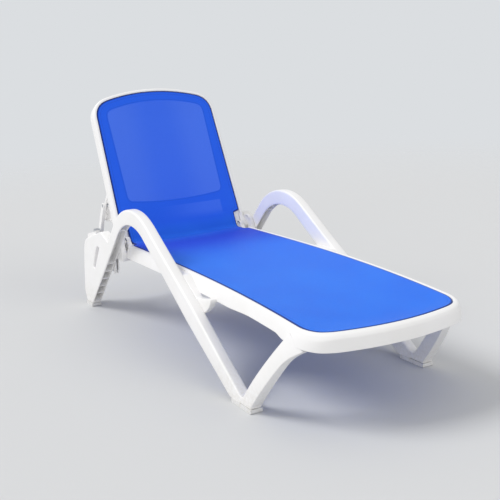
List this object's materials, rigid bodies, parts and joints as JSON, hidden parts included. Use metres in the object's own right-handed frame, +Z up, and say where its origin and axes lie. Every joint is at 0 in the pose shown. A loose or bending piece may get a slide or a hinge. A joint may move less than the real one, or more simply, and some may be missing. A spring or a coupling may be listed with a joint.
{
  "type": "sun lounger",
  "caption": "Stacking resin sun lounger with arched armrests, a stretched mesh sling seat and a mesh backrest that reclines on a notched folding prop.",
  "frame": {"origin": "on the ground under the middle of the whole lounger's box, in the pose of the picture", "axes": "+Z up, +Y towards the head end, -Y towards the foot end, +X to the sitter's left"},
  "size_m": [0.726, 1.8372, 0.9456],
  "materials": {
    "white_resin": "satin, fine moulded grain",
    "grey_resin": "matte",
    "blue_mesh": "woven coated yarn, see-through",
    "steel": "plain"
  },
  "bodies": {
    "frame": {"left_side_rail": "white_resin", "right_side_rail": "white_resin", "left_front_leg": "white_resin", "right_front_leg": "white_resin", "left_armrest": "white_resin", "right_armrest": "white_resin", "left_rear_leg": "white_resin", "right_rear_leg": "white_resin", "left_front_foot_pad": "grey_resin", "right_front_foot_pad": "grey_resin", "left_rear_foot_pad": "grey_resin", "right_rear_foot_pad": "grey_resin", "left_hinge_bracket": "white_resin", "right_hinge_bracket": "white_resin", "left_stacking_guide": "white_resin", "right_stacking_guide": "white_resin", "left_notch_rack": "white_resin", "right_notch_rack": "white_resin", "left_cloth_strip": "grey_resin", "right_cloth_strip": "grey_resin", "foot_apron": "white_resin", "foot_crossbar": "white_resin", "middle_crossbar": "white_resin", "hinge_crossbar": "white_resin", "head_crossbar": "white_resin", "seat_cloth": "blue_mesh", "foot_cloth_strip": "grey_resin"},
    "backrest": {"left_back_stile": "white_resin", "right_back_stile": "white_resin", "back_top_rail": "white_resin", "back_bottom_bar": "white_resin", "back_lower_crossbar": "white_resin", "back_cloth": "blue_mesh", "left_hinge_pin": "steel", "right_hinge_pin": "steel", "left_prop_lug": "white_resin", "right_prop_lug": "white_resin"},
    "prop": {"left_prop_arm": "white_resin", "right_prop_arm": "white_resin", "prop_rod": "steel", "left_prop_toe_pin": "steel", "right_prop_toe_pin": "steel"}
  },
  "joints": [
    {"name": "backrest_recline", "type": "hinge", "parent": "frame", "child": "backrest", "pos_m": [0, 0.56485, 0.33], "axis": [1, 0, 0], "range_deg": [-65, 0]},
    {"name": "prop_fold", "type": "hinge", "parent": "backrest", "child": "prop", "pos_m": [0, 0.70956, 0.46996], "axis": [1, 0, 0], "range_deg": [0, 150]}
  ],
  "couplings": [
    {"joint": "prop_fold", "follows": "backrest_recline", "ratio": -2.3046}
  ]
}
